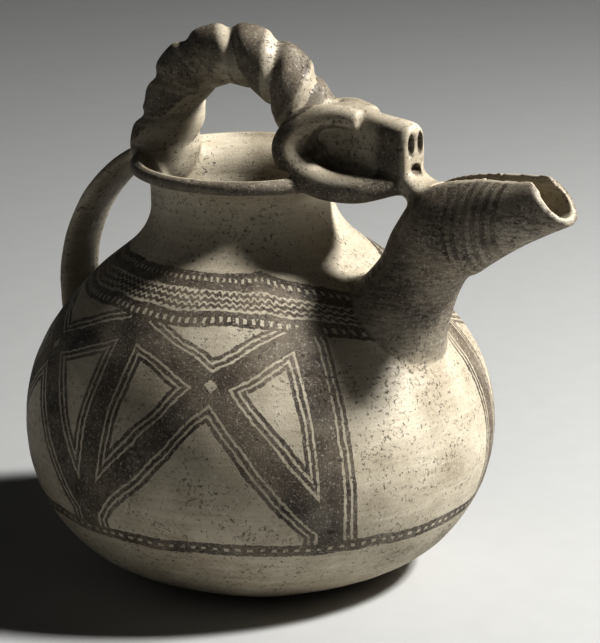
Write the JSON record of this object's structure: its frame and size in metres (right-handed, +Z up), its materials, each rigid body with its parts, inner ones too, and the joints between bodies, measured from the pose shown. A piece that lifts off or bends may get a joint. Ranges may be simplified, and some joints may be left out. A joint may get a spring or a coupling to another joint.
{
  "type": "spouted pottery jug with basket handle",
  "caption": "Round-bellied hand-built pottery jug with a flaring mouth, long open beak spout, twisted basket handle, rear strap handle and a ram's head with curled horns",
  "frame": {"origin": "centre of the flat underside, on the surface the jug stands on", "axes": "+Z up, +X along the beak away from the strap handle; the jug is mirrored left and right of the XZ plane"},
  "size_m": [0.3062, 0.24, 0.2794],
  "materials": {
    "fired_clay": "burnished pale slip with worn dark painted ornament"
  },
  "bodies": {
    "root": {"jug": "fired_clay"}
  },
  "joints": []
}
